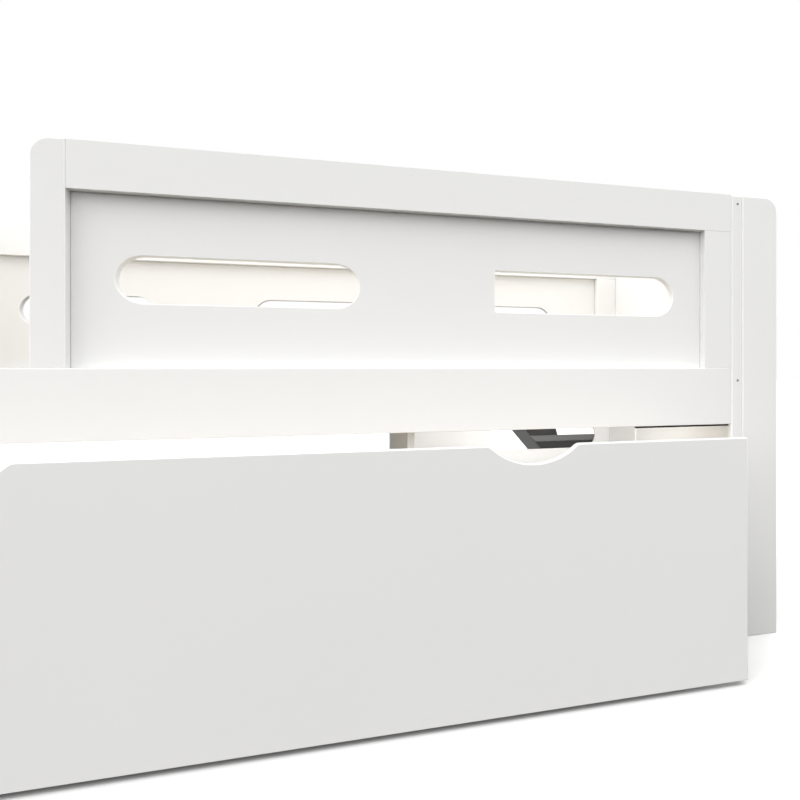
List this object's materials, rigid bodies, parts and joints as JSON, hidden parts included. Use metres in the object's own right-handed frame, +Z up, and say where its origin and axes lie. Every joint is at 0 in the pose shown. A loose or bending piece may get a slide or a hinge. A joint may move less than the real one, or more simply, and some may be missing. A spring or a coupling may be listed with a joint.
{
  "type": "trundle bed",
  "caption": "Low child's bed with a slotted front guard, slotted back guard and slatted deck, and a roll-out trundle on castors with finger scoops.",
  "frame": {"origin": "on the floor, under the middle of the bed's box with the trundle at its rest place", "axes": "+X along the bed to the end with the guard, +Y from the open front to the back guard, +Z up"},
  "size_m": [1.772, 1.1596, 0.8665],
  "materials": {
    "white_lacquer": "satin white lacquer on smooth board",
    "pine": "planed bare pine",
    "plywood": "sanded birch plywood",
    "dark_steel": "dark grey powder coat",
    "zinc": "bright zinc plate",
    "wheel_plastic": "matte moulded"
  },
  "bodies": {
    "bed_frame": {"post_front_left": "white_lacquer", "post_rear_left": "white_lacquer", "end_top_rail_left": "white_lacquer", "end_bottom_rail_left": "white_lacquer", "end_panel_left": "white_lacquer", "cover_strip_left": "white_lacquer", "post_front_right": "white_lacquer", "post_rear_right": "white_lacquer", "end_top_rail_right": "white_lacquer", "end_bottom_rail_right": "white_lacquer", "end_panel_right": "white_lacquer", "cover_strip_right": "white_lacquer", "side_rail_front": "white_lacquer", "side_rail_rear": "white_lacquer", "guard_post_left": "white_lacquer", "guard_top_rail": "white_lacquer", "guard_stile_right": "white_lacquer", "guard_panel": "white_lacquer", "back_top_rail": "white_lacquer", "back_stile_left": "white_lacquer", "back_stile_right": "white_lacquer", "back_panel": "white_lacquer", "slat_ledger_front": "pine", "slat_ledger_rear": "pine", "slat_01": "pine", "slat_02": "pine", "slat_03": "pine", "slat_04": "pine", "slat_05": "pine", "slat_06": "pine", "slat_07": "pine", "slat_08": "pine", "slat_09": "pine", "slat_10": "pine", "corner_bracket_left": "dark_steel", "corner_bracket_right": "dark_steel", "brace_bar": "dark_steel", "brace_strut": "dark_steel", "brace_plate": "dark_steel", "divider_panel": "white_lacquer", "rear_panel": "white_lacquer", "corner_board": "white_lacquer"},
    "trundle": {"trundle_front": "white_lacquer", "trundle_side_left": "white_lacquer", "trundle_side_right": "white_lacquer", "trundle_back": "white_lacquer", "trundle_base": "plywood", "castor_bracket_front_left": "zinc", "castor_bracket_front_right": "zinc", "castor_bracket_rear_left": "zinc", "castor_bracket_rear_right": "zinc", "castor_axle_front_left": "zinc", "castor_axle_front_right": "zinc", "castor_axle_rear_left": "zinc", "castor_axle_rear_right": "zinc"},
    "wheel_front_left": {"wheel_front_left": "wheel_plastic"},
    "wheel_front_right": {"wheel_front_right": "wheel_plastic"},
    "wheel_rear_left": {"wheel_rear_left": "wheel_plastic"},
    "wheel_rear_right": {"wheel_rear_right": "wheel_plastic"}
  },
  "joints": [
    {"name": "trundle_slide", "type": "slide", "parent": "bed_frame", "child": "trundle", "axis": [0, -1, 0], "range_m": [-0.2245, 0.6]},
    {"name": "wheel_spin_front_left", "type": "hinge", "parent": "trundle", "child": "wheel_front_left", "pos_m": [-0.61, -0.48975, 0.025], "axis": [1, 0, 0], "range_deg": [-520, 1385]},
    {"name": "wheel_spin_front_right", "type": "hinge", "parent": "trundle", "child": "wheel_front_right", "pos_m": [0.61, -0.48975, 0.025], "axis": [1, 0, 0], "range_deg": [-520, 1385]},
    {"name": "wheel_spin_rear_left", "type": "hinge", "parent": "trundle", "child": "wheel_rear_left", "pos_m": [-0.61, 0.13025, 0.025], "axis": [1, 0, 0], "range_deg": [-520, 1385]},
    {"name": "wheel_spin_rear_right", "type": "hinge", "parent": "trundle", "child": "wheel_rear_right", "pos_m": [0.61, 0.13025, 0.025], "axis": [1, 0, 0], "range_deg": [-520, 1385]}
  ],
  "couplings": [
    {"joint": "wheel_spin_front_left", "follows": "trundle_slide", "rad_per_m": 40},
    {"joint": "wheel_spin_front_right", "follows": "trundle_slide", "rad_per_m": 40},
    {"joint": "wheel_spin_rear_left", "follows": "trundle_slide", "rad_per_m": 40},
    {"joint": "wheel_spin_rear_right", "follows": "trundle_slide", "rad_per_m": 40}
  ]
}
